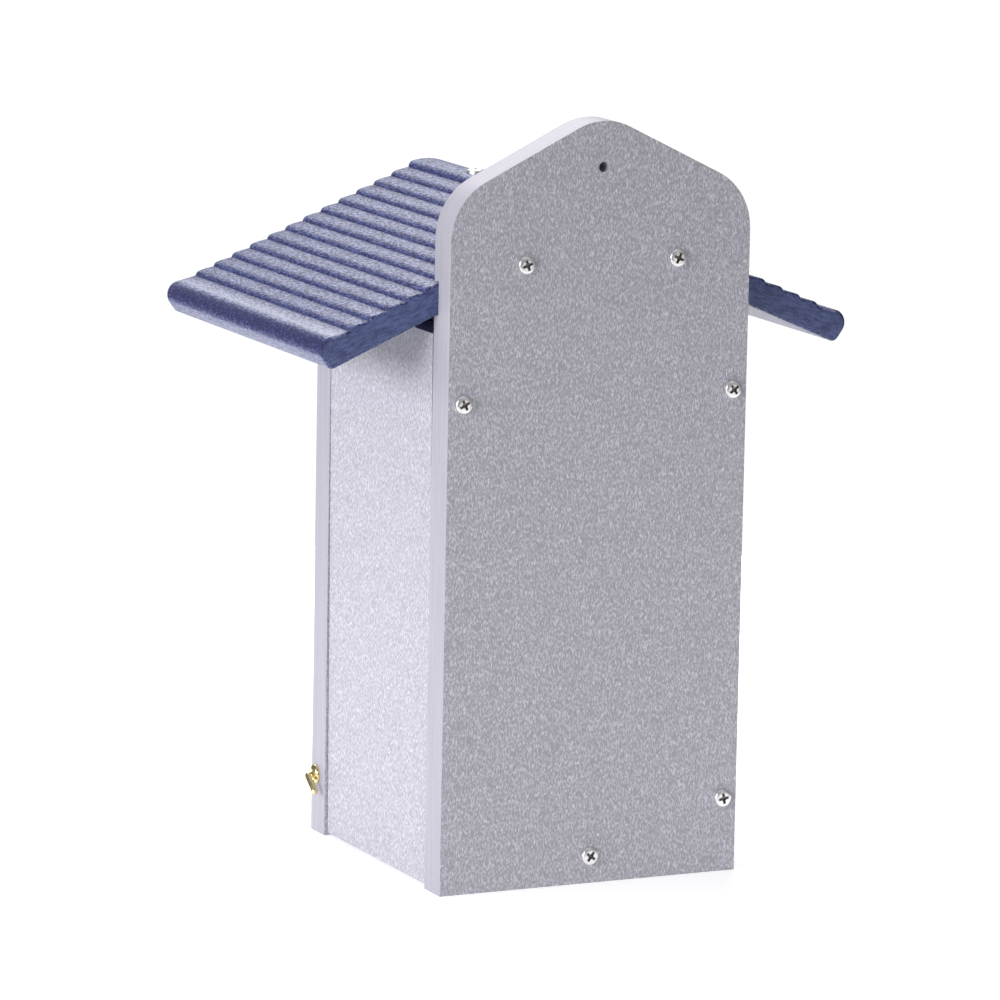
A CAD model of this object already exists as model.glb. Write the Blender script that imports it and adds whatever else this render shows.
import math

import bmesh
import bpy
import numpy as np
from mathutils import Matrix, Vector


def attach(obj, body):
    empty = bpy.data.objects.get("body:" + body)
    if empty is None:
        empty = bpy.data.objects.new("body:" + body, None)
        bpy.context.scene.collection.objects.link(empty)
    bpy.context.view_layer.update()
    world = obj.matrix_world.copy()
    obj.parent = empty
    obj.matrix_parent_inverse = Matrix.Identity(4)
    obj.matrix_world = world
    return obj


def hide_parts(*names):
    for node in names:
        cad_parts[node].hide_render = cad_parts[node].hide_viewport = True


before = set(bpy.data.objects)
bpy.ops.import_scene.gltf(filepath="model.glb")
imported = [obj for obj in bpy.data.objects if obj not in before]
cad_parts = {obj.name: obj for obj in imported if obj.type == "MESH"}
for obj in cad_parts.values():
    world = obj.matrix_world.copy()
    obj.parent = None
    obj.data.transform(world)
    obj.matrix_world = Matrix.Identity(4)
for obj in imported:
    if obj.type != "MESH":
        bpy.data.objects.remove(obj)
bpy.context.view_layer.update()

# Camera
# A long lens from behind the house, a little to the door's side and a little above it,
# as in the product photo: lens and place were worked out from the edges of the box.
camera_data = bpy.data.cameras.new("camera")
camera_data.lens = 236.98
camera_data.sensor_width = 36
camera_data.clip_end = 50
camera = bpy.data.objects.new("camera", camera_data)
camera_place = np.array([1.3244, 2.76915, 0.7230])
right = np.array([-0.9039, 0.4274, 0.0189])
up = np.array([-0.0597, -0.1698, 0.9837])
back = np.cross(right, up)
camera.matrix_world = Matrix([*np.stack([right, up, back, camera_place], -1).tolist(), (0, 0, 0, 1)])
bpy.context.scene.collection.objects.link(camera)
bpy.context.scene.camera = camera

# Studio
# A white table lit until it has no shadows left, in a dim white room: two soft boxes on the door's side,
# the stronger towards the rear corner, one above the front, weak ones high on the door's side and overhead,
# and two pale aprons behind the house, one low and one high, that the bright screw heads mirror.


def linear_colour(hex_colour):
    """The sRGB hex colour as linear red, green, blue and alpha."""
    srgb = np.array([int(hex_colour[i:i + 2], 16) for i in (1, 3, 5)]) / 255
    linear = np.where(srgb <= 0.04045, srgb / 12.92, ((srgb + 0.055) / 1.055) ** 2.4)
    return (*linear.tolist(), 1.0)


def add_node(tree, kind, inputs=None, **settings):
    """Adds a shader node, sets its properties, and links or sets its inputs by name or number."""
    node = tree.nodes.new(kind)
    for name, value in settings.items():
        setattr(node, name, value)
    for name, value in (inputs or {}).items():
        if isinstance(value, bpy.types.NodeSocket):
            tree.links.new(value, node.inputs[name])
        else:
            node.inputs[name].default_value = value
    return node


def soft_box(name, place, target, width, height, brightness, hex_colour):
    """A rectangular area light at place that points at target; brightness is its face's radiance,
    so its power is radiance * pi * width * height. The camera doesn't see it."""
    light = bpy.data.lights.new(name, "AREA")
    light.shape = "RECTANGLE"
    light.size = width
    light.size_y = height
    light.energy = brightness * math.pi * width * height
    light.color = linear_colour(hex_colour)[:3]
    lamp = bpy.data.objects.new(name, light)
    lamp.location = place
    lamp.rotation_euler = (Vector(target) - Vector(place)).to_track_quat("-Z", "Y").to_euler()
    lamp.visible_camera = False
    bpy.context.scene.collection.objects.link(lamp)


soft_box("door_side_soft_box", (1.90, 0.00, 0.62), (0, 0, 0.17), 0.8, 0.6, 8.0, "#FFFFFF")
soft_box("rear_corner_soft_box", (1.722, 0.803, 0.62), (0, 0, 0.17), 0.8, 0.6, 13.0, "#FCFDFF")
soft_box("high_side_soft_box", (1.60, 0.00, 1.35), (0, 0, 0.17), 0.9, 0.6, 0.6, "#FCFDFF")
soft_box("overhead_soft_box", (0.0, 0.0, 1.45), (0, 0, 0), 1.1, 1.1, 1.35, "#FFFFFF")
soft_box("front_top_soft_box", (-0.3, -1.2, 1.35), (0, 0, 0.1), 1.1, 0.9, 6.9, "#FFFFFF")
soft_box("low_apron", (-0.93, 2.05, -0.15), (0, 0, 0.2), 1.3, 0.6, 1.0, "#FFFFFF")
soft_box("high_apron", (-0.85, 1.90, 1.30), (0, 0, 0.2), 1.6, 1.0, 0.40, "#FFFFFF")


def white_walls():
    """The room: dim walls for every ray that lights the house, plain white where the camera sees it."""
    world = bpy.data.worlds.new("white_walls")
    world.use_nodes = True
    bpy.context.scene.world = world
    tree = world.node_tree
    tree.nodes.clear()
    seen = add_node(tree, "ShaderNodeLightPath")
    walls = add_node(tree, "ShaderNodeBackground", {"Color": linear_colour("#FFFFFF"), "Strength": 0.21})
    white = add_node(tree, "ShaderNodeBackground", {"Color": (1, 1, 1, 1), "Strength": 1.05})
    either = add_node(
        tree, "ShaderNodeMixShader",
        {0: seen.outputs["Is Camera Ray"], 1: walls.outputs[0], 2: white.outputs[0]})
    add_node(tree, "ShaderNodeOutputWorld", {"Surface": either.outputs[0]})


white_walls()
bpy.context.scene.view_settings.view_transform = "Standard"


def put_mesh(name, points, faces):
    """A new smooth-shaded object at the origin from an array of points in metres and a list of faces."""
    mesh = bpy.data.meshes.new(name)
    mesh.from_pydata(points.tolist(), [], faces)
    mesh.shade_smooth()
    piece = bpy.data.objects.new(name, mesh)
    bpy.context.scene.collection.objects.link(piece)
    return piece


def white_laminate():
    """Matt white laminate table top: scatters nearly all light and has almost no gloss. Its own light
    stands for the strong studio lamps that burn its shadows out, most of all in front of the house.
    Along Y it falls from front_glow to rear_glow."""
    front_glow = 1.25
    rear_glow = 0.42
    glow_falls_from = -0.5
    glow_falls_to = -0.15
    top = bpy.data.materials.new("matt_white_laminate")
    top.use_nodes = True
    shader = top.node_tree.nodes["Principled BSDF"]
    shader.inputs["Base Color"].default_value = linear_colour("#F2F2F2")
    shader.inputs["Roughness"].default_value = 0.9
    shader.inputs["Specular IOR Level"].default_value = 0.1
    shader.inputs["Emission Color"].default_value = (1, 1, 1, 1)
    place = add_node(top.node_tree, "ShaderNodeTexCoord")
    spot = add_node(top.node_tree, "ShaderNodeSeparateXYZ", {0: place.outputs["Object"]})
    lamp = add_node(
        top.node_tree, "ShaderNodeMapRange",
        {"Value": spot.outputs["Y"], "From Min": glow_falls_from, "From Max": glow_falls_to,
         "To Min": front_glow, "To Max": rear_glow})
    top.node_tree.links.new(lamp.outputs[0], shader.inputs["Emission Strength"])
    return top


table_r = 0.75
table_sides = 96
table_turn = np.linspace(0, 2 * np.pi, table_sides, endpoint=False)
table = put_mesh(
    "white_table",
    table_r * np.stack([np.cos(table_turn), np.sin(table_turn), 0 * table_turn], -1),
    [tuple(range(table_sides))])
table.data.materials.append(white_laminate())

# Grey boards: back panel, front panel, fixed side, door and floor
# Sheets of recycled polythene, 15 to 17 mm thick, pressed with a fine haircell grain on both faces.
# They are sawn and routed to shape, so their edges are plain and show faint cutter lines.


def eased_board(name, node, arris):
    """The board's own solid with its corners welded, its flat triangles joined to whole faces,
    and every sharp edge rounded to the radius arris, as by a pass of sandpaper."""
    weld = 1e-6
    flat_within = math.radians(0.4)
    sharp_from = math.radians(28)
    solid = bmesh.new()
    solid.from_mesh(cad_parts[node].data)
    bmesh.ops.remove_doubles(solid, verts=solid.verts, dist=weld)
    bmesh.ops.dissolve_limit(solid, angle_limit=flat_within, verts=solid.verts, edges=solid.edges)
    points = np.array([v.co for v in solid.verts])
    faces = [[v.index for v in f.verts] for f in solid.faces]
    solid.free()
    board = put_mesh(name, points, faces)
    rounding = board.modifiers.new("eased_arrises", "BEVEL")
    rounding.width = arris
    rounding.segments = 3
    rounding.limit_method = "ANGLE"
    rounding.angle_limit = sharp_from
    rounding.harden_normals = True
    return board


def haircell_sheet(name, across):
    """Haircell polythene sheet. Its pressed grain of short upright cells catches the light as flecks,
    and its sawn edges are smoother, with faint lines that follow the cut. across is the sheet's normal."""
    cell_wide = 0.00063
    cell_tall = 0.00155
    cell_lean = math.radians(12)

    # Real cutter lines are some 0.3 mm apart. They are drawn coarser here, so that they show
    line_apart = 0.0011
    along_line = 0.02
    sheet = bpy.data.materials.new(name)
    sheet.use_nodes = True
    tree = sheet.node_tree
    shader = tree.nodes["Principled BSDF"]
    place = add_node(tree, "ShaderNodeTexCoord")
    facing = add_node(tree, "ShaderNodeSeparateXYZ", {0: place.outputs["Normal"]})
    square_on = add_node(
        tree, "ShaderNodeMath", {0: facing.outputs["XYZ".index(across)]}, operation="ABSOLUTE")
    face = add_node(
        tree, "ShaderNodeMapRange", {"Value": square_on.outputs[0], "From Min": 0.8, "From Max": 0.97})

    # Grain cells lean a little, the way the press roll turned
    cells = add_node(
        tree, "ShaderNodeMapping",
        {"Vector": place.outputs["Object"],
         "Rotation": (cell_lean, cell_lean, 0),
         "Scale": (1 / cell_wide, 1 / cell_wide, 1 / cell_tall)}, vector_type="POINT")
    grain = add_node(
        tree, "ShaderNodeTexNoise",
        {"Vector": cells.outputs[0], "Scale": 1.0, "Detail": 1.0, "Roughness": 0.5, "Distortion": 0.2})
    flecks = add_node(
        tree, "ShaderNodeMapRange", {"Value": grain.outputs["Fac"], "From Min": 0.42, "From Max": 0.84})
    grey = add_node(
        tree, "ShaderNodeMix",
        {0: flecks.outputs[0], 6: linear_colour("#A2A0AA"), 7: linear_colour("#E6E4EF")},
        data_type="RGBA")

    # Cutter lines run along the edge, so they change only through the sheet's thickness
    through = [along_line / line_apart] * 3
    through["XYZ".index(across)] = 1 / line_apart
    cuts = add_node(tree, "ShaderNodeMapping", {"Vector": place.outputs["Object"], "Scale": through})
    lines = add_node(
        tree, "ShaderNodeTexNoise",
        {"Vector": cuts.outputs[0], "Scale": 1.0, "Detail": 3.0, "Roughness": 0.6})
    rough_sawn = add_node(
        tree, "ShaderNodeMix",
        {0: 0.35, 2: lines.outputs["Fac"], 3: grain.outputs["Fac"]}, data_type="FLOAT")
    sawn = add_node(
        tree, "ShaderNodeMix",
        {0: rough_sawn.outputs[0], 6: linear_colour("#8F8C97"), 7: linear_colour("#C2BFCB")},
        data_type="RGBA")
    colour = add_node(
        tree, "ShaderNodeMix",
        {0: face.outputs[0], 6: sawn.outputs[2], 7: grey.outputs[2]}, data_type="RGBA")
    tree.links.new(colour.outputs[2], shader.inputs["Base Color"])

    height = add_node(
        tree, "ShaderNodeMix",
        {0: face.outputs[0], 2: rough_sawn.outputs[0], 3: grain.outputs["Fac"]}, data_type="FLOAT")
    bump = add_node(
        tree, "ShaderNodeBump", {"Height": height.outputs[0], "Strength": 0.6, "Distance": 0.0002})
    tree.links.new(bump.outputs[0], shader.inputs["Normal"])
    shader.inputs["Roughness"].default_value = 0.55
    shader.inputs["IOR"].default_value = 1.5
    return sheet


sheets = {
    "Y": haircell_sheet("haircell_grey_sheet_upright_across", "Y"),
    "X": haircell_sheet("haircell_grey_sheet_upright_along", "X"),
    "Z": haircell_sheet("haircell_grey_sheet_level", "Z")}
for node, across, body, arris in (
        ("back_panel", "Y", "house", 0.0009), ("front_panel", "Y", "house", 0.0006),
        ("fixed_side", "X", "house", 0.0005), ("side_door", "X", "door", 0.0004),
        ("floor_panel", "Z", "house", 0.0005)):
    board = eased_board("grey_" + node, node, arris)
    board.data.materials.append(sheets[across])
    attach(board, body)
    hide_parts(node)

# Roof boards
# Two deep blue polythene boards, planed to thirteen clapboard courses with rounded lips and a bullnose
# eave. They meet in a mitre at the ridge and their rear ends are let into the back panel.
roof_pitch = math.radians(23.4)


def planed_blue_board():
    """Blue polythene planed by a moulder: satin, with a short torn grain along the board that breaks up
    its gloss. The flats are scuffed pale, most of all at the eave, while the feet of the courses and the
    bullnose stay dull and deep blue. The underside keeps its smooth gloss. The sawn ends are duller and
    streaked along the saw's way."""
    grain_wide = 0.0010
    grain_long = 0.0028
    streak_long = 0.0048
    streak_wide = 0.0012
    blue = bpy.data.materials.new("planed_blue_polythene")
    blue.use_nodes = True
    tree = blue.node_tree
    shader = tree.nodes["Principled BSDF"]
    place = add_node(tree, "ShaderNodeTexCoord")
    scuffed = add_node(tree, "ShaderNodeAttribute", attribute_name="scuffed")
    along = add_node(
        tree, "ShaderNodeMapping",
        {"Vector": place.outputs["Object"], "Scale": (1 / grain_wide, 1 / grain_long, 1 / grain_wide)})
    grain = add_node(
        tree, "ShaderNodeTexNoise",
        {"Vector": along.outputs[0], "Scale": 1.0, "Detail": 2.0, "Roughness": 0.6, "Distortion": 0.4})
    torn = add_node(
        tree, "ShaderNodeMapRange", {"Value": grain.outputs["Fac"], "From Min": 0.34, "From Max": 0.66})

    # The torn grain breaks up the edges of the scuffing
    spotted = add_node(
        tree, "ShaderNodeMath",
        {0: torn.outputs[0], 1: 0.6, 2: scuffed.outputs["Fac"]}, operation="MULTIPLY_ADD")
    worn = add_node(
        tree, "ShaderNodeMapRange", {"Value": spotted.outputs[0], "From Min": 0.3, "From Max": 1.3})
    chalky = add_node(
        tree, "ShaderNodeMapRange", {"Value": spotted.outputs[0], "From Min": 1.3, "From Max": 2.1})
    flats = add_node(
        tree, "ShaderNodeMix",
        {0: torn.outputs[0], 6: linear_colour("#161B46"), 7: linear_colour("#545F97")}, data_type="RGBA")
    planed = add_node(
        tree, "ShaderNodeMix",
        {0: worn.outputs[0], 6: linear_colour("#1F1F50"), 7: flats.outputs[2]}, data_type="RGBA")
    chalked = add_node(
        tree, "ShaderNodeMix",
        {0: chalky.outputs[0], 6: planed.outputs[2], 7: linear_colour("#8A8EAC")}, data_type="RGBA")

    # Saw streaks run down the slope, so the pattern is turned to it on either board
    mirrored = add_node(tree, "ShaderNodeVectorMath", {0: place.outputs["Object"]}, operation="ABSOLUTE")
    slope = add_node(
        tree, "ShaderNodeMapping",
        {"Vector": mirrored.outputs[0], "Rotation": (0, roof_pitch, 0),
         "Scale": (streak_long, streak_wide, streak_wide)}, vector_type="TEXTURE")
    streaks = add_node(
        tree, "ShaderNodeTexNoise",
        {"Vector": slope.outputs[0], "Scale": 1.0, "Detail": 4.0, "Roughness": 0.65})
    streaked = add_node(
        tree, "ShaderNodeMapRange", {"Value": streaks.outputs["Fac"], "From Min": 0.32, "From Max": 0.68})
    sawn = add_node(
        tree, "ShaderNodeMix",
        {0: streaked.outputs[0], 6: linear_colour("#353B68"), 7: linear_colour("#5C6999")},
        data_type="RGBA")
    facing = add_node(tree, "ShaderNodeSeparateXYZ", {0: place.outputs["Normal"]})
    square_on = add_node(tree, "ShaderNodeMath", {0: facing.outputs["Y"]}, operation="ABSOLUTE")
    end = add_node(
        tree, "ShaderNodeMapRange", {"Value": square_on.outputs[0], "From Min": 0.96, "From Max": 0.998})
    colour = add_node(
        tree, "ShaderNodeMix",
        {0: end.outputs[0], 6: chalked.outputs[2], 7: sawn.outputs[2]}, data_type="RGBA")
    tree.links.new(colour.outputs[2], shader.inputs["Base Color"])

    gloss = add_node(
        tree, "ShaderNodeMapRange",
        {"Value": grain.outputs["Fac"], "From Min": 0.3, "From Max": 0.7, "To Min": 0.50, "To Max": 0.36})
    rough = add_node(
        tree, "ShaderNodeMix", {0: worn.outputs[0], 2: 0.80, 3: gloss.outputs[0]}, data_type="FLOAT")
    under = add_node(
        tree, "ShaderNodeMapRange", {"Value": facing.outputs["Z"], "From Min": -0.15, "From Max": -0.50})
    finish = add_node(
        tree, "ShaderNodeMix", {0: under.outputs[0], 2: rough.outputs[0], 3: 0.36}, data_type="FLOAT")
    tree.links.new(finish.outputs[0], shader.inputs["Roughness"])
    bump = add_node(
        tree, "ShaderNodeBump", {"Height": grain.outputs["Fac"], "Strength": 1.0, "Distance": 0.0006})
    tree.links.new(bump.outputs[0], shader.inputs["Normal"])
    shader.inputs["IOR"].default_value = 1.5
    return blue


roof_under = 0.3021
roof_thick = 0.0126
roof_run = 0.1408
roof_front = -0.09865
roof_rear = 0.08365
roof_arris = 0.0015
ridge_top = 0.3158
ridge_screw_y = -0.04085
ridge_seat = 0.31523


def arc(centre, radius, first, last, steps):
    """Points on a circle from angle first to angle last: centre + radius * (cos angle, sin angle)."""
    angle = np.linspace(first, last, steps + 1)
    return np.array(centre) + radius * np.stack([np.cos(angle), np.sin(angle)], -1)


def rounded(corners, radii, steps):
    """An open line whose inner corners are turned into arcs, each of steps + 1 points.
    centre = corner + bisector * radius / sin(half angle), and the arc swings from the first touching
    direction a to the last, b, as (sin((1 - t) * turn) * a + sin(t * turn) * b) / sin(turn)."""
    def unit(v):
        return v / np.linalg.norm(v, axis=-1, keepdims=True)

    at = corners[1:-1]
    radii = np.array(radii)[:, None]
    to_last = unit(corners[:-2] - at)
    to_next = unit(corners[2:] - at)
    half = np.arccos(np.sum(to_last * to_next, axis=-1, keepdims=True)) / 2
    centre = at + unit(to_last + to_next) * radii / np.sin(half)
    a = unit(at + to_last * radii / np.tan(half) - centre)[:, None]
    b = unit(at + to_next * radii / np.tan(half) - centre)[:, None]
    turn = (np.pi - 2 * half)[:, None]
    t = np.linspace(0, 1, steps + 1)[None, :, None]
    swing = (np.sin((1 - t) * turn) * a + np.sin(t * turn) * b) / np.sin(turn)
    arcs = centre[:, None] + radii[:, None] * swing
    return np.concatenate([corners[:1], arcs.reshape(-1, 2), corners[-1:]])


def crested(centre, wide_r, start, lip_r, foot, steps):
    """A wide arc that turns down in a lip. It follows its circle from angle start as far as a fine table of
    turns shows that a lip circle, which touches it from inside, also passes through the foot. The lip then
    runs down to the foot, which is left out."""
    most_turned = 0.6
    turns_tried = 6001
    lip_steps = 8
    turns = start - np.linspace(0, most_turned, turns_tried)
    lip_centres = np.array(centre) + (wide_r - lip_r) * np.stack([np.cos(turns), np.sin(turns)], -1)
    best = int(np.argmax(np.linalg.norm(foot - lip_centres, axis=-1) < lip_r))
    to_foot = foot - lip_centres[best]
    wide = arc(centre, wide_r, start, turns[best], steps)
    lip = arc(lip_centres[best], lip_r, turns[best], math.atan2(to_foot[1], to_foot[0]), lip_steps)
    return np.concatenate([wide, lip[1:-1]])


def clapboard_profile():
    """The right board's section as X and Z, from the ridge mitre over the courses, round the bullnose and
    back along the underside, and how scuffed each of its points is (1 is usual). The ridge course is a
    crested arc about the middle plane, and each of the twelve courses below it is a crested arc in slope
    coordinates, s down the slope and h square to it. The last course runs straight up to the bullnose."""
    courses = 12
    pitch = 0.01005
    lip_r = 0.0030
    flat_r = 0.045
    flat_rise = math.radians(15.2)
    flat_steps = 7
    ridge_r = 0.0283
    ridge_steps = 15
    last_foot = 0.1252
    last_rise = math.tan(math.radians(10.4))
    last_flat_len = 0.009
    lean = math.tan(math.radians(13))
    nose_r = 0.0065
    heel_r = 0.0030
    sin = math.sin(roof_pitch)
    cos = math.cos(roof_pitch)
    feet = last_foot - pitch * np.arange(courses, 0, -1)
    course = crested(
        (flat_r * math.sin(flat_rise), -flat_r * math.cos(flat_rise)), flat_r, math.pi / 2 + flat_rise,
        lip_r, np.array([pitch, 0]), flat_steps)
    repeated = course[None] + np.stack([feet, np.full(courses, roof_thick)], -1)[:, None]
    nose_s = (roof_run + (roof_thick - last_foot * last_rise) * lean) / (1 - last_rise * lean)
    nose = (nose_s, roof_thick + (nose_s - last_foot) * last_rise)
    last_flat = np.linspace(0, last_flat_len, 10)
    last_course = np.stack([last_foot + last_flat, roof_thick + last_flat * last_rise], -1)
    eave = rounded(np.array([last_course[-1], nose, (roof_run, 0), (0, 0)]), [nose_r, heel_r], 10)
    s, h = np.concatenate([repeated.reshape(-1, 2), last_course, eave[1:]]).T
    slopes = np.stack([s * cos + h * sin, roof_under - s * sin + h * cos], -1)
    ridge = crested((0, ridge_top - ridge_r), ridge_r, math.pi / 2, lip_r, slopes[0], ridge_steps)

    # Feet are a fifth as scuffed as the flats, and lips somewhat less than the flats
    foot_spared = 0.8
    foot_reach = 0.00145
    lip_spared = 0.28
    lip_from = 0.006
    lip_fades_in = 0.0015
    down = np.where(s < last_foot, (s - feet[0]) % pitch, s - last_foot)
    flats = 1 - foot_spared * np.exp(-down / foot_reach)
    lips = 1 - lip_spared * np.clip((down - lip_from) / lip_fades_in, 0, 1)
    ridge_scuffed = np.where(np.arange(len(ridge)) <= ridge_steps, 1, 1 - lip_spared)

    # The last flat grows chalky towards the eave, and the bullnose is hardly scuffed until it turns under
    least = 0.05
    chalk_most = 1.8
    chalk_growth = 90
    chalk_end = 0.0133
    chalk_drop = 350
    nose_from = 0.0113
    under_from = 0.0110
    under_fades_in = 0.0032
    chalk = np.minimum(flats * (1 + chalk_growth * down), chalk_drop * (chalk_end - down))
    chalk = np.clip(chalk, least, chalk_most)
    turned_under = np.clip((under_from - h) / under_fades_in, least, 1)
    scuffed = np.where(s < last_foot, flats * lips, np.where(h > nose_from, chalk, turned_under))
    scuffed[-1] = 1
    return np.concatenate([ridge, slopes]), np.concatenate([ridge_scuffed, scuffed])


def grid_faces(rows, columns, closed):
    """Quads of a grid of rows by columns points, whose last column joins the first when closed."""
    r, c = np.meshgrid(np.arange(rows - 1), np.arange(columns if closed else columns - 1), indexing="ij")
    here = r * columns + c
    beside = r * columns + (c + 1) % columns
    return np.stack([here, beside, beside + columns, here + columns], -1).reshape(-1, 4)


def roof_board():
    """The right board: the profile carried from front to rear. Its end arrises are rounded by stations
    that step in by r (1 - cos t) along the board while the profile shrinks by r (1 - sin t) along its
    own normals. A round seat for the ridge screw is cut level into the seam, where the stations lie
    close together."""
    seat_r = 0.0044
    seat_reach = 0.0052
    profile, scuffed = clapboard_profile()
    ahead = np.roll(profile, -1, axis=0) - profile
    tangent = ahead / np.linalg.norm(ahead, axis=-1, keepdims=True)
    tangent = tangent + np.roll(tangent, 1, axis=0)
    tangent /= np.linalg.norm(tangent, axis=-1, keepdims=True)
    inward = np.stack([tangent[:, 1], -tangent[:, 0]], -1)
    inward[0] = (0, -1)
    inward[-1] = (0, 1)
    t = np.linspace(0, np.pi / 2, 6)
    step_in = roof_arris * (1 - np.cos(t))
    shrink = roof_arris * (1 - np.sin(t))
    seat = ridge_screw_y + np.linspace(-seat_reach, seat_reach, 27)
    middle = np.concatenate([[-0.075], seat, [-0.01, 0.02, 0.05]])
    y = np.concatenate([roof_front + step_in, middle, (roof_rear - step_in)[::-1]])
    inset = np.concatenate([shrink, 0 * middle, shrink[::-1]])
    ring = profile[None] + inset[:, None, None] * inward[None]
    points = np.stack([ring[..., 0], np.broadcast_to(y[:, None], ring.shape[:2]), ring[..., 1]], -1)
    in_seat = np.hypot(points[..., 0], points[..., 1] - ridge_screw_y) < seat_r
    on_top = points[..., 2] > ridge_seat
    points[..., 2] = np.where(in_seat & on_top, ridge_seat, points[..., 2])
    rows, columns = ring.shape[:2]
    sides = grid_faces(rows, columns, True)
    front = np.arange(columns)
    rear = (rows - 1) * columns + np.arange(columns)
    faces = sides.tolist() + [front.tolist()[::-1], rear.tolist()]
    return points.reshape(-1, 3), faces, np.tile(scuffed, rows)


blue_board = planed_blue_board()
board_points, board_faces, board_scuffed = roof_board()
for node, side in (("roof_board_right", 1), ("roof_board_left", -1)):
    faces = board_faces if side == 1 else [face[::-1] for face in board_faces]
    board = put_mesh("blue_" + node, board_points * (side, 1, 1), faces)
    board.data.set_sharp_from_angle(angle=math.radians(50))
    scuffs = board.data.attributes.new("scuffed", "FLOAT", "POINT")
    scuffs.data.foreach_set("value", board_scuffed)
    board.data.materials.append(blue_board)
    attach(board, "house")
    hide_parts(node)

# Pan head screws
# Eleven stainless No. 8 wood screws with cross recess pan heads. They hold the panels, the roof and the
# floor, and two of them are the door's pivots.
head_r = 0.0042
head_rim = 0.0009
head_top = 0.0025
shank_r = 0.00205
root_r = 0.0015
shank_len = 0.038
tip_len = 0.005


def head_height(r):
    """Pan head's height over its seat at radius r: a superellipse from the top down to the rim,
    height = rim + (top - rim) * (1 - (r / head_r) ** 4) ** (1 / 3)."""
    inside = np.clip(1 - (r / head_r) ** 4, 0, 1)
    return head_rim + (head_top - head_rim) * inside ** (1 / 3)


def recess_depth(x, y):
    """Cross recess: depth of the pocket at x, y. The four wings are as wide as the driver's blades,
    with steep walls, and their floors slope down to the middle, which is a square on its corner. A wall
    goes from none to all of the depth within its lean, one to three tenths of a millimetre."""
    wing_half = 0.00066
    wing_lean = 0.00012
    wing_len = 0.0026
    end_lean = 0.0003
    middle_half = 0.0017
    middle_lean = 0.0002
    wing_depth = 0.0011
    middle_drop = 0.0009
    drop_reach = 0.0022
    along = np.maximum(np.abs(x), np.abs(y))
    across = np.minimum(np.abs(x), np.abs(y))
    in_wing = np.clip((wing_half - across) / wing_lean, 0, 1)
    in_middle = np.clip((middle_half - along - across) / middle_lean, 0, 1)
    floor_depth = wing_depth + middle_drop * np.clip(1 - along / drop_reach, 0, 1)
    end_wall = np.clip((wing_len - along) / end_lean, 0, 1)
    return np.maximum(in_wing, in_middle) * end_wall * floor_depth


def pan_screw():
    """One screw that points down from its seat at z = 0, as points and faces.
    The middle of the head is a square grid with lines on the recess's edges, the rest of the head and
    the shank are rings around it, and the thread is a ridge whose radius follows
    root + (outer - root) * ridge(z / pitch + angle / full turn)."""
    pitch = 0.0017
    ridge_slope = 3.2
    plain_len = 0.003
    runs_out_in = 0.001
    lines_mm = np.array([0, 0.17, 0.35, 0.54, 0.66, 0.8, 1.05, 1.4, 1.75, 2.05, 2.3, 2.6, 2.8])
    half = lines_mm / 1000
    ticks = np.concatenate([-half[:0:-1], half])
    n = len(ticks)
    gx, gy = np.meshgrid(ticks, ticks, indexing="ij")
    gz = head_height(np.hypot(gx, gy)) - recess_depth(gx, gy)
    middle = np.stack([gx, gy, gz], -1).reshape(-1, 3)
    middle_faces = grid_faces(n, n, False)

    # The rim of the square grid, walked once round, is the first ring
    index = np.arange(n * n).reshape(n, n)
    rim = np.concatenate([index[:-1, 0], index[-1, :-1], index[:0:-1, -1], index[0, :0:-1]])
    count = len(rim)
    square = middle[rim][:, :2]
    turn = np.arctan2(square[:, 1], square[:, 0])
    circle = head_r * np.stack([np.cos(turn), np.sin(turn)], -1)

    # Head rings from the square out to the rim, closer together towards the round shoulder
    t = np.sin(np.linspace(0, np.pi / 2, 12)[1:])[:, None, None]
    flat = (1 - t) * square + t * circle
    dome = np.concatenate([flat, head_height(np.linalg.norm(flat, axis=-1))[..., None]], -1)
    low_rim = np.concatenate([circle, np.zeros((count, 1))], -1)[None]

    # Shank rings with the thread, eight to a turn of it, then the point
    z = -np.linspace(0, shank_len, int(shank_len / pitch * 8))[:, None]
    phase = (z / pitch + turn[None] / (2 * np.pi)) % 1
    ridge = np.clip(1 - np.abs(phase - 0.5) * ridge_slope, 0, 1)
    plain = np.clip(1 + (z + plain_len) / runs_out_in, 0, 1)
    taper = np.clip((shank_len + z) / tip_len, 0, 1)
    radius = (root_r + (shank_r - root_r) * np.maximum(ridge, plain)) * taper
    shank = np.stack(
        [radius * np.cos(turn), radius * np.sin(turn), np.broadcast_to(z, radius.shape)], -1)
    rings = np.concatenate([middle[rim][None], dome, low_rim, shank[:-1]])
    ring_points = rings[1:].reshape(-1, 3)
    points = np.concatenate([middle, ring_points, [[0, 0, -shank_len]]])
    numbers = np.concatenate([rim, n * n + np.arange(len(ring_points))])
    ring_faces = numbers[grid_faces(len(rings), count, True)]
    last = numbers[-count:]
    tip = len(points) - 1
    tip_faces = [(int(a), int(b), tip) for a, b in zip(last, np.roll(last, -1))]
    faces = middle_faces.tolist() + ring_faces.tolist() + tip_faces
    return points, [face[::-1] for face in faces]


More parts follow.
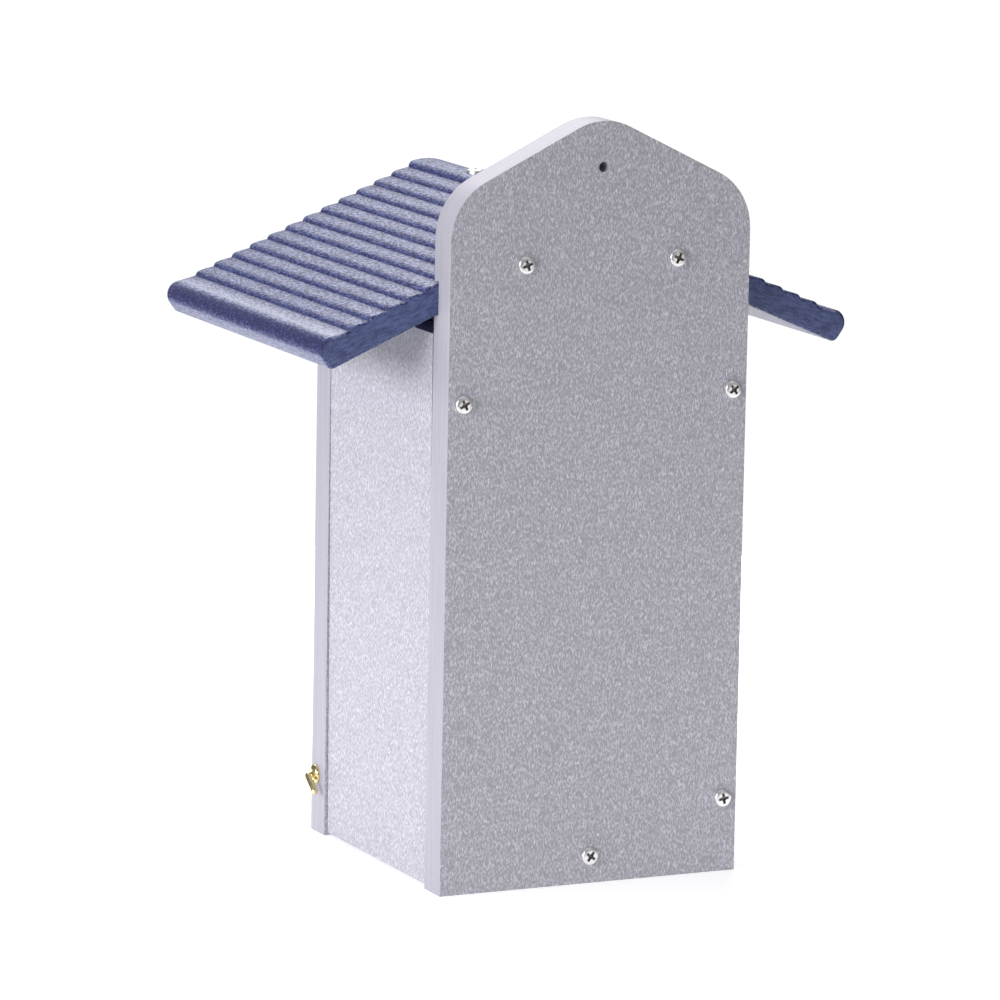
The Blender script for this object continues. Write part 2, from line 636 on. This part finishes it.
def stainless_steel():
    """Plain stainless steel, tumbled bright: mirrors the studio, with fine scuffs in its gloss and the
    grey tumbling grime left deep in the recess."""
    # Real tumbling scuffs are a few hundredths of a millimetre wide, and are drawn coarser to show
    scuff_wide = 0.0006
    steel = bpy.data.materials.new("tumbled_stainless_steel")
    steel.use_nodes = True
    tree = steel.node_tree
    shader = tree.nodes["Principled BSDF"]
    place = add_node(tree, "ShaderNodeTexCoord")
    scuffs = add_node(
        tree, "ShaderNodeTexNoise",
        {"Vector": place.outputs["Object"], "Scale": 1 / scuff_wide, "Detail": 3.0})
    gloss = add_node(
        tree, "ShaderNodeMapRange", {"Value": scuffs.outputs["Fac"], "To Min": 0.26, "To Max": 0.4})
    tree.links.new(gloss.outputs[0], shader.inputs["Roughness"])
    tint = add_node(
        tree, "ShaderNodeMix",
        {0: scuffs.outputs["Fac"], 6: linear_colour("#EAE8E8"), 7: linear_colour("#FAF8F9")},
        data_type="RGBA")
    depth = add_node(tree, "ShaderNodeAttribute", attribute_name="recess_depth")
    grime = add_node(
        tree, "ShaderNodeMapRange",
        {"Value": depth.outputs["Fac"], "From Min": 0.0003, "From Max": 0.0009})
    sooty = add_node(
        tree, "ShaderNodeMix",
        {0: grime.outputs[0], 6: tint.outputs[2], 7: linear_colour("#807A78")}, data_type="RGBA")
    tree.links.new(sooty.outputs[2], shader.inputs["Base Color"])
    shader.inputs["Metallic"].default_value = 1.0
    return steel


steel = stainless_steel()
screw_points, screw_faces = pan_screw()
on_head = screw_points[:, 2] > 0
screw_depth = np.where(on_head, recess_depth(screw_points[:, 0], screw_points[:, 1]), 0)
back_face = 0.09615
front_face = -0.05125
from_back = Matrix(((1, 0, 0), (0, 0, 1), (0, -1, 0)))
from_front = Matrix(((1, 0, 0), (0, 0, -1), (0, 1, 0)))
from_above = Matrix.Identity(3)
side_x = 0.0688
pivot_z = 0.229425
low_z = 0.0352
floor_z = 0.0131
roof_screw_x = 0.0385
roof_screw_z = 0.292305

# Each screw has its place and the degrees that its cross is turned
screws = (
    ("back_roof_screws", "house", from_back, (
        ((roof_screw_x, back_face, roof_screw_z), 20),
        ((-roof_screw_x, back_face, roof_screw_z), 65))),
    ("back_side_screws", "house", from_back, (
        ((-side_x, back_face, pivot_z), 35),
        ((-side_x, back_face, low_z), 10))),
    ("back_floor_screw", "house", from_back, (
        ((0, back_face, floor_z), 55),)),
    ("rear_pivot_screw", "door", from_back, (
        ((side_x, back_face, pivot_z), 28),)),
    ("front_pivot_screw", "door", from_front, (
        ((side_x, front_face, pivot_z), 50),)),
    ("front_side_screws", "house", from_front, (
        ((-side_x, front_face, pivot_z), 15),
        ((-side_x, front_face, low_z), 70))),
    ("front_floor_screw", "house", from_front, (
        ((0, front_face, floor_z), 32),)),
    ("ridge_screw", "house", from_above, (
        ((0, ridge_screw_y, ridge_seat), 40),)))
for node, body, way, places in screws:
    all_points = []
    all_faces = []
    for place, degrees in places:
        turned = np.array(way @ Matrix.Rotation(math.radians(degrees), 3, "Z"))
        first = sum(len(p) for p in all_points)
        all_faces += [[i + first for i in f] for f in screw_faces]
        all_points.append(screw_points @ turned.T + np.array(place))
    piece = put_mesh("stainless_" + node, np.concatenate(all_points), all_faces)
    depth = piece.data.attributes.new("recess_depth", "FLOAT", "POINT")
    depth.data.foreach_set("value", np.tile(screw_depth, len(places)))
    piece.data.set_sharp_from_angle(angle=math.radians(40))
    piece.data.materials.append(steel)
    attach(piece, body)
    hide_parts(node)

# Door hook
# A square-bend hook of brass plated wire, screwed by hand into the front panel's edge. Its domed collar
# sits on the edge and its leg turns over the door's edge to hold the door shut.
hook_axis = np.array([0.0762, -0.04605, 0.028])
wire_r = 0.0017
hook_stand = 0.0046
hook_leg = 0.0125
hook_shank = 0.016
bend_r = 0.002
collar_r = 0.0047
collar_rim = 0.0005
collar_top = 0.0024
turned_down = math.radians(35.1)


def door_hook():
    """The hook's wire as rings carried along its path, which runs out of the board along X, round the
    bend and down the leg. A ring lies at axis + out * X + along * leg direction, with radius r (z) for the
    point, the thread, the domed collar, the wire and the round tip in turn, and it stands square to
    the path's direction cos a * X + sin a * leg direction."""
    out_way = np.array([1.0, 0.0, 0.0])
    leg_way = np.array([0.0, math.cos(turned_down), -math.sin(turned_down)])
    side_way = np.cross(out_way, leg_way)
    segments = 40
    turn = np.linspace(0, 2 * np.pi, segments, endpoint=False)

    # Threaded shank: a ridge on a thinner core, with a tapered point
    pitch = 0.0015
    ridge_slope = 3.2
    core_r = 0.0013
    plain_len = 0.002
    runs_out_in = 0.001
    point_len = 0.004
    z = np.linspace(-hook_shank, 0, 88)[1:, None]
    ridge = np.clip(1 - np.abs((z / pitch + turn / (2 * np.pi)) % 1 - 0.5) * ridge_slope, 0, 1)
    plain = np.clip(1 + (z + plain_len) / runs_out_in, 0, 1)
    taper = np.clip((hook_shank + z) / point_len, 0, 1)
    shank_radius = (core_r + (wire_r - core_r) * np.maximum(ridge, plain)) * taper

    # Collar: flat under, a short rim, then r = wire + (collar - wire) * sqrt(1 - t^2) up to its top
    t = np.linspace(0, 1, 9)
    collar_out = np.concatenate([[0], collar_rim + (collar_top - collar_rim) * t])
    collar_radius = np.concatenate([[collar_r], wire_r + (collar_r - wire_r) * np.sqrt(1 - t ** 2)])

    # Bend through a right angle, then the leg and its half-ball tip
    a = np.linspace(0, np.pi / 2, 11)
    bend_out = hook_stand - bend_r + bend_r * np.sin(a)
    bend_along = bend_r * (1 - np.cos(a))
    tip = np.linspace(0, np.pi / 2, 8)[:-1]
    tip_along = hook_leg - wire_r + wire_r * np.sin(tip)

    out = np.concatenate([z[:, 0], collar_out, bend_out, np.full(len(tip), hook_stand)])
    along = np.concatenate([np.zeros(len(z) + len(collar_out)), bend_along, tip_along])
    angle = np.concatenate([np.zeros(len(z) + len(collar_out)), a, np.full(len(tip), np.pi / 2)])
    round_radius = np.concatenate([collar_radius, np.full(len(a), wire_r), wire_r * np.cos(tip)])
    round_rings = np.broadcast_to(round_radius[:, None], (len(round_radius), segments))
    radius = np.concatenate([shank_radius, round_rings])
    inner_way = np.cos(angle)[:, None] * leg_way - np.sin(angle)[:, None] * out_way
    centre = hook_axis + out[:, None] * out_way + along[:, None] * leg_way
    across = np.cos(turn)[None, :, None] * inner_way[:, None] + np.sin(turn)[None, :, None] * side_way
    rings = centre[:, None] + radius[..., None] * across
    rows = len(rings)
    point = hook_axis - hook_shank * out_way
    end = hook_axis + hook_stand * out_way + hook_leg * leg_way
    points = np.concatenate([rings.reshape(-1, 3), [point, end]])
    first = np.arange(segments)
    last = first + (rows - 1) * segments
    point_fan = np.stack([np.roll(first, -1), first, np.full(segments, rows * segments)], -1)
    end_fan = np.stack([last, np.roll(last, -1), np.full(segments, rows * segments + 1)], -1)
    return points, grid_faces(rows, segments, True).tolist() + point_fan.tolist() + end_fan.tolist()


def bright_brass():
    """Bright brass plate: strong yellow mirror, a little softer and browner in its scuffs."""
    # Real scuffs are finer, and are drawn this coarse to show
    scuff_wide = 0.0008
    brass = bpy.data.materials.new("bright_brass_plate")
    brass.use_nodes = True
    tree = brass.node_tree
    shader = tree.nodes["Principled BSDF"]
    place = add_node(tree, "ShaderNodeTexCoord")
    scuffs = add_node(
        tree, "ShaderNodeTexNoise",
        {"Vector": place.outputs["Object"], "Scale": 1 / scuff_wide, "Detail": 3.0})
    gloss = add_node(
        tree, "ShaderNodeMapRange", {"Value": scuffs.outputs["Fac"], "To Min": 0.10, "To Max": 0.24})
    tree.links.new(gloss.outputs[0], shader.inputs["Roughness"])
    tint = add_node(
        tree, "ShaderNodeMix",
        {0: scuffs.outputs["Fac"], 6: linear_colour("#D3BC86"), 7: linear_colour("#F4EABF")},
        data_type="RGBA")
    tree.links.new(tint.outputs[2], shader.inputs["Base Color"])
    shader.inputs["Metallic"].default_value = 1.0
    return brass


hook = put_mesh("brass_door_hook", *door_hook())
hook.data.set_sharp_from_angle(angle=math.radians(40))
hook.data.materials.append(bright_brass())
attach(hook, "hook")
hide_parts("door_hook")
